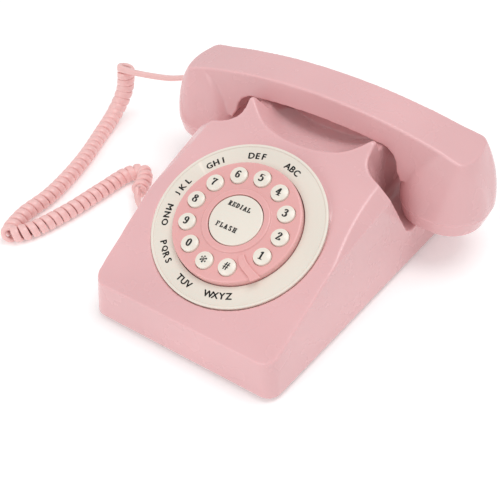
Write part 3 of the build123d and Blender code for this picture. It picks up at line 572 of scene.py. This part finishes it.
# Pen strokes of the printed figures and capitals, one unit high; "c" is a curve, "l" is straight.
STEM = [
    ("l", (0.2, 0.04), (0.2, 0.96)),
    ("l", (0.06, 0.03), (0.36, 0.03)),
    ("l", (0.06, 0.97), (0.36, 0.97)),
]
STROKES = {
    "0": [
        ("c", (0.31, 0.97), (0.14, 0.8), (0.1, 0.5), (0.14, 0.2), (0.31, 0.03), (0.48, 0.2),
         (0.52, 0.5), (0.48, 0.8), (0.31, 0.97)),
    ],
    "1": [
        ("l", (0.32, 0.04), (0.32, 0.95)),
        ("l", (0.32, 0.96), (0.14, 0.82)),
        ("l", (0.14, 0.03), (0.5, 0.03)),
    ],
    "2": [
        ("c", (0.13, 0.74), (0.18, 0.92), (0.34, 0.97), (0.49, 0.86), (0.48, 0.66), (0.32, 0.4),
         (0.12, 0.08)),
        ("l", (0.12, 0.06), (0.5, 0.06)),
        ("l", (0.53, 0.08), (0.55, 0.24)),
    ],
    "3": [
        ("c", (0.12, 0.8), (0.2, 0.95), (0.36, 0.96), (0.47, 0.78), (0.4, 0.6), (0.24, 0.53)),
        ("c", (0.24, 0.53), (0.44, 0.47), (0.52, 0.27), (0.4, 0.06), (0.2, 0.03), (0.1, 0.17)),
    ],
    "4": [
        ("l", (0.4, 0.95), (0.4, 0.04)),
        ("l", (0.38, 0.95), (0.06, 0.34)),
        ("l", (0.06, 0.31), (0.58, 0.31)),
        ("l", (0.24, 0.03), (0.54, 0.03)),
    ],
    "5": [
        ("l", (0.15, 0.92), (0.48, 0.92)),
        ("l", (0.14, 0.92), (0.12, 0.56)),
        ("c", (0.13, 0.56), (0.3, 0.63), (0.48, 0.52), (0.52, 0.3), (0.38, 0.06), (0.2, 0.03), (0.1, 0.17)),
    ],
    "6": [
        ("c", (0.47, 0.84), (0.36, 0.97), (0.18, 0.85), (0.11, 0.5), (0.14, 0.18), (0.3, 0.03),
         (0.49, 0.16), (0.5, 0.4), (0.36, 0.56), (0.16, 0.46)),
    ],
    "7": [
        ("l", (0.1, 0.91), (0.5, 0.91)),
        ("l", (0.08, 0.92), (0.07, 0.72)),
        ("c", (0.52, 0.92), (0.4, 0.64), (0.28, 0.34), (0.25, 0.04)),
    ],
    "8": [
        ("c", (0.3, 0.97), (0.14, 0.86), (0.15, 0.66), (0.3, 0.53), (0.46, 0.66), (0.47, 0.86),
         (0.3, 0.97)),
        ("c", (0.3, 0.53), (0.1, 0.4), (0.11, 0.12), (0.3, 0.03), (0.5, 0.12), (0.51, 0.4), (0.3, 0.53)),
    ],
    "9": [
        ("c", (0.14, 0.16), (0.25, 0.03), (0.43, 0.15), (0.5, 0.5), (0.47, 0.82), (0.31, 0.97),
         (0.12, 0.84), (0.11, 0.6), (0.25, 0.44), (0.45, 0.54)),
    ],
    "hash": [
        ("l", (0.14, 0.04), (0.26, 0.96)),
        ("l", (0.44, 0.04), (0.56, 0.96)),
        ("l", (0.0, 0.34), (0.64, 0.34)),
        ("l", (0.06, 0.66), (0.7, 0.66)),
    ],
    "R": STEM + [
        ("c", (0.2, 0.96), (0.5, 0.95), (0.62, 0.74), (0.5, 0.53), (0.2, 0.5)),
        ("l", (0.44, 0.5), (0.66, 0.05)),
        ("l", (0.62, 0.03), (0.84, 0.03)),
    ],
    "E": STEM + [
        ("l", (0.2, 0.95), (0.68, 0.95)),
        ("l", (0.68, 0.95), (0.7, 0.74)),
        ("l", (0.2, 0.5), (0.52, 0.5)),
        ("l", (0.2, 0.05), (0.7, 0.05)),
        ("l", (0.7, 0.05), (0.73, 0.28)),
    ],
    "D": STEM + [
        ("c", (0.2, 0.95), (0.5, 0.93), (0.72, 0.5), (0.5, 0.07), (0.2, 0.05)),
    ],
    "I": STEM,
    "A": [
        ("l", (0.12, 0.05), (0.4, 0.95)),
        ("l", (0.42, 0.95), (0.68, 0.05)),
        ("l", (0.22, 0.33), (0.6, 0.33)),
        ("l", (0.02, 0.03), (0.26, 0.03)),
        ("l", (0.54, 0.03), (0.84, 0.03)),
    ],
    "L": STEM + [
        ("l", (0.2, 0.05), (0.66, 0.05)),
        ("l", (0.68, 0.05), (0.7, 0.32)),
    ],
    "F": STEM + [
        ("l", (0.2, 0.95), (0.68, 0.95)),
        ("l", (0.68, 0.95), (0.7, 0.72)),
        ("l", (0.2, 0.5), (0.52, 0.5)),
    ],
    "S": [
        ("c", (0.62, 0.8), (0.48, 0.96), (0.28, 0.95), (0.15, 0.77), (0.24, 0.59), (0.5, 0.44),
         (0.64, 0.25), (0.52, 0.05), (0.3, 0.04), (0.12, 0.22)),
    ],
    "H": STEM + [
        *((kind, (x + 0.48, y), (u + 0.48, v)) for kind, (x, y), (u, v) in STEM),
        ("l", (0.2, 0.5), (0.68, 0.5)),
    ],
}


def polar(radius, degrees):
    angle = math.radians(degrees)
    return radius * math.cos(angle), radius * math.sin(angle)


def hull(points):
    """Convex outline of flat points, counter-clockwise."""
    points = sorted(set(points))
    rims = []
    for run in (points, points[::-1]):
        rim = []
        for p in run:
            while len(rim) > 1:
                (ax, ay), (bx, by) = rim[-2:]
                if (bx - ax) * (p[1] - ay) - (by - ay) * (p[0] - ax) > 1e-9:
                    break
                rim.pop()
            rim.append(p)
        rims += rim[:-1]
    return rims


def stroke_outlines(strokes, height, pen_x, pen_y):
    """A flat oval pen drawn along each stroke, as overlapping convex outlines in mm."""
    turns = np.linspace(0, 2 * math.pi, 16, endpoint=False)
    nib = [(pen_x * math.cos(a), pen_y * math.sin(a)) for a in turns]
    outlines = []
    for kind, *points in strokes:
        if kind == "c":
            curve, _ = spline_points([(x, y, 0) for x, y in points], 7 * len(points))
            points = [tuple(p[:2]) for p in curve]
        for (ax, ay), (bx, by) in zip(points, points[1:]):
            steps = max(1, round(math.hypot(bx - ax, by - ay) * height / 0.8))
            for i in range(steps):
                ends = [(ax + (bx - ax) * t / steps, ay + (by - ay) * t / steps) for t in (i, i + 1)]
                outlines.append(hull([(x * height + u, y * height + v) for x, y in ends for u, v in nib]))
    return outlines


def middle_x(outlines):
    xs = [point[0] for outline in outlines for point in outline]
    return (min(xs) + max(xs)) / 2


def star_outlines(radius):
    """Six petals round a small middle."""
    outlines = []
    for i in range(6):
        turn = math.radians(30 + 60 * i)
        c, s = math.cos(turn), math.sin(turn)
        half = [(0.08, 0.06), (0.55, 0.2), (0.85, 0.26), (1.0, 0.13)]
        petal = half + [(u, -v) for u, v in half[::-1]]
        outlines.append(hull([(radius * (u * c - v * s), radius * (u * s + v * c)) for u, v in petal]))
    return outlines


def print_on(name, outlines, shift, height_at, body, lift=INK_LIFT):
    """Ink outlines laid on a dial surface whose height is known at every point."""
    points, faces = [], []
    for outline in outlines:
        faces.append(tuple(range(len(points), len(points) + len(outline))))
        for x, y in outline:
            spot = Vector((x + shift[0], y + shift[1], height_at(x, y) + lift)) * MM
            points.append(DIAL @ spot)
    mesh = bpy.data.meshes.new(name)
    mesh.from_pydata(points, [], faces)
    obj = add_object(name, mesh, "ink")
    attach(obj, body)
    return obj


def dome(top, radius):
    return lambda x, y: top - (x * x + y * y) / (2 * radius)


def rounded(corners, radius, steps=5):
    """Closed outline of (r, z) corners with every corner that has its own radius rounded off."""
    out = []
    for i, corner in enumerate(corners):
        before, after = np.array(corners[i - 1]), np.array(corners[(i + 1) % len(corners)])
        corner = np.array(corner, float)
        r = radius[i]
        if r == 0:
            out.append(tuple(corner))
            continue
        a = (before - corner) / np.linalg.norm(before - corner)
        b = (after - corner) / np.linalg.norm(after - corner)
        for t in np.linspace(0, 1, steps):
            p = (1 - t) ** 2 * (corner + a * r) + 2 * t * (1 - t) * corner + t ** 2 * (corner + b * r)
            out.append(tuple(p))
    return out


def make_keys():
    for i, key in enumerate(KEYS):
        bearing = FIRST_KEY_BEARING + KEY_STEP * i
        x, y = polar(KEY_CIRCLE_R, bearing)
        top = dome(KEY_TOP, KEY_DOME_R)
        crown = [(r, top(r, 0)) for r in (4.9, 4.3, 3.6, 2.8, 1.9, 1.0)]
        edge = [(5.5, 2.85), (5.5, 5.7), (5.46, 5.98), (5.36, 6.2), (5.18, 6.36)]
        outline = [(0, 0), (3, 0), (3, 1.9), (6.6, 1.9), (6.6, 2.85)] + edge + crown + [(0, KEY_TOP)]
        place = DIAL @ Matrix.Translation((x * MM, y * MM, 0))
        cap = lathe(f"key_cap_{key}", outline, "key_cream", place, 72)
        stand_for(cap, f"key_{key}")
        if key == "star":
            outlines = star_outlines(STAR_R)
        else:
            pen = HASH_PEN if key == "hash" else FIGURE_PEN
            raw = stroke_outlines(STROKES[key], FIGURE_HEIGHT, *pen)
            middle = middle_x(raw)
            outlines = [[(u - middle, v - FIGURE_HEIGHT / 2) for u, v in o] for o in raw]
        print_on(f"figure_{key}", outlines, (x, y), top, f"key_{key}_body")


def print_word(word, left, right, base):
    """A word on the rocker, spread from left to right along a base line, in mm."""
    step = (right - left) / (len(word) - 1)
    outlines = []
    for i, letter in enumerate(word):
        raw = stroke_outlines(STROKES[letter], WORD_HEIGHT, *WORD_PEN)
        middle = middle_x(raw)
        start = left + step * i
        outlines += [[((u - middle) * WORD_NARROWING + start, v + base) for u, v in o] for o in raw]
    print_on("word_" + word.lower(), outlines,
           (0, 0), dome(ROCKER_TOP, ROCKER_DOME_R), "rocker", WORD_LIFT)


def make_ring_letters():
    """Plain capitals round the letter ring, one mesh per group."""
    for word, middle, step in LETTER_GROUPS:
        points, faces = [], []
        for i, letter in enumerate(word):
            curve = bpy.data.curves.new("letter", "FONT")
            curve.body = letter
            curve.resolution_u = 3
            temp = bpy.data.objects.new("letter", curve)
            bpy.context.scene.collection.objects.link(temp)
            bpy.context.view_layer.update()
            graph = bpy.context.evaluated_depsgraph_get()
            mesh = bpy.data.meshes.new_from_object(temp.evaluated_get(graph))
            bpy.data.objects.remove(temp)
            co = np.array([v.co for v in mesh.vertices])[:, :2]
            low, high = co.min(0), co.max(0)
            co = (co - (low + high) / 2) * LETTER_HEIGHT / (high[1] - low[1])
            bearing = middle + step * (i - (len(word) - 1) / 2)
            turn = math.radians(bearing + (90 if step > 0 else -90))
            c, s = math.cos(turn), math.sin(turn)
            x, y = polar(LETTER_R, bearing)
            for du, dv in LETTER_WEIGHT:
                first = len(points)
                for u, v in co + (du, dv):
                    spot = Vector((x + u * c - v * s, y + u * s + v * c, RING_TOP + INK_LIFT))
                    points.append(DIAL @ (spot * MM))
                faces += [tuple(first + k for k in polygon.vertices) for polygon in mesh.polygons]
            bpy.data.meshes.remove(mesh)
        mesh = bpy.data.meshes.new("letters_" + word)
        mesh.from_pydata(points, [], faces)
        obj = add_object("letters_" + word, mesh, "ink")
        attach(obj, "base")


def make_dial():
    corners = [(RING_IN_R, RING_FOOT), (RING_OUT_R, RING_FOOT), (RING_OUT_R, RING_RIM_TOP),
               (RING_RIM_R, RING_RIM_TOP), (RING_RIM_R - 0.4, RING_TOP), (RING_IN_R, RING_TOP)]
    ring = lathe("letter_plate", rounded(corners, [0, 0, 0.5, 0.4, 0.3, 0.3]), "ring_cream", DIAL, 192)
    stand_for(ring, "letter_ring")
    soften("dial_face", "dial_plate", 0.32, 3, 0.6, DIAL)
    soften("finger_stop", "finger_stop_rib", 0.2, 5, 1.0, DIAL)
    soften("centre_rocker", "rocker_cap", 0.3, 3, 0.6, DIAL)
    make_keys()
    print_word("REDIAL", -8.6, 4.8, 6.9)
    print_word("FLASH", -8.7, 3.6, -8.0)
    make_ring_letters()


# ---------------------------------------------------------------- CAD nodes that stay
def paint_nodes():
    for name, obj in frame["nodes"].items():
        obj.data.materials.clear()
        obj.data.materials.append(MATERIALS[NODE_SLOT[name]])


# ---------------------------------------------------------------- camera, floor and lights
def aim_camera():
    """Camera in front, to the right and above: angles in radians, lengths in metres."""
    azimuth, elevation, roll = 0.6311, 0.7552, -0.0422
    distance = 0.62588
    slide_x, slide_y = 0.01278, 0.02191
    target = Vector((0, FRONT_Y + 0.1, 0.04))
    right = Vector((math.cos(azimuth), math.sin(azimuth), 0))
    back = Vector((math.sin(azimuth) * math.cos(elevation),
                   -math.cos(azimuth) * math.cos(elevation), math.sin(elevation)))
    up = back.cross(right)
    c, s = math.cos(roll), math.sin(roll)
    cam_x = c * right + s * up
    cam_y = -s * right + c * up
    data = bpy.data.cameras.new("camera")
    data.sensor_width = 36
    data.lens = 71.55
    data.clip_start = 0.01
    camera = bpy.data.objects.new("camera", data)
    bpy.context.scene.collection.objects.link(camera)
    place = target - slide_x * cam_x - slide_y * cam_y + distance * back
    axes = Matrix((cam_x, cam_y, back)).transposed().to_4x4()
    camera.matrix_world = Matrix.Translation(place) @ axes
    bpy.context.scene.camera = camera


def add_light(name, place, target, size, power):
    data = bpy.data.lights.new(name, "AREA")
    data.shape = "DISK"
    data.size = size
    data.energy = power
    light = bpy.data.objects.new(name, data)
    bpy.context.scene.collection.objects.link(light)
    light.location = place
    light.rotation_euler = (Vector(target) - Vector(place)).to_track_quat("-Z", "Y").to_euler()


def make_studio():
    size = 4.0
    corners = [(-size, -size, 0), (size, -size, 0), (size, size, 0), (-size, size, 0)]
    mesh = bpy.data.meshes.new("floor")
    mesh.from_pydata(corners, [], [(0, 1, 2, 3)])
    floor = bpy.data.objects.new("floor", mesh)
    bpy.context.scene.collection.objects.link(floor)
    n = Nodes("floor")
    n.link(n.mix(n.noise(3.0), (0.93, 0.93, 0.93), (0.95, 0.95, 0.95)), "Base_Color")
    n.set(Roughness=0.9, Specular_IOR_Level=0.1, Emission_Strength=0.2)
    n.shader.inputs["Emission Color"].default_value = (1, 1, 1, 1)
    floor.data.materials.append(n.material)
    world = bpy.data.worlds.new("studio")
    world.use_nodes = True
    world.node_tree.nodes["Background"].inputs["Color"].default_value = (1, 1, 1, 1)
    world.node_tree.nodes["Background"].inputs["Strength"].default_value = 0.6
    bpy.context.scene.world = world
    add_light("key_light", (-0.4, -1.2, 0.8), (0, 0, 0.05), 1.1, 4.5)
    add_light("top_light", (0.35, 0.25, 1.5), (0, 0, 0.05), 1.1, 8.8)
    bpy.context.scene.view_settings.view_transform = "Standard"


paint_nodes()
make_shells()
make_seam_bands()
make_dial()
make_cord()
make_studio()
aim_camera()
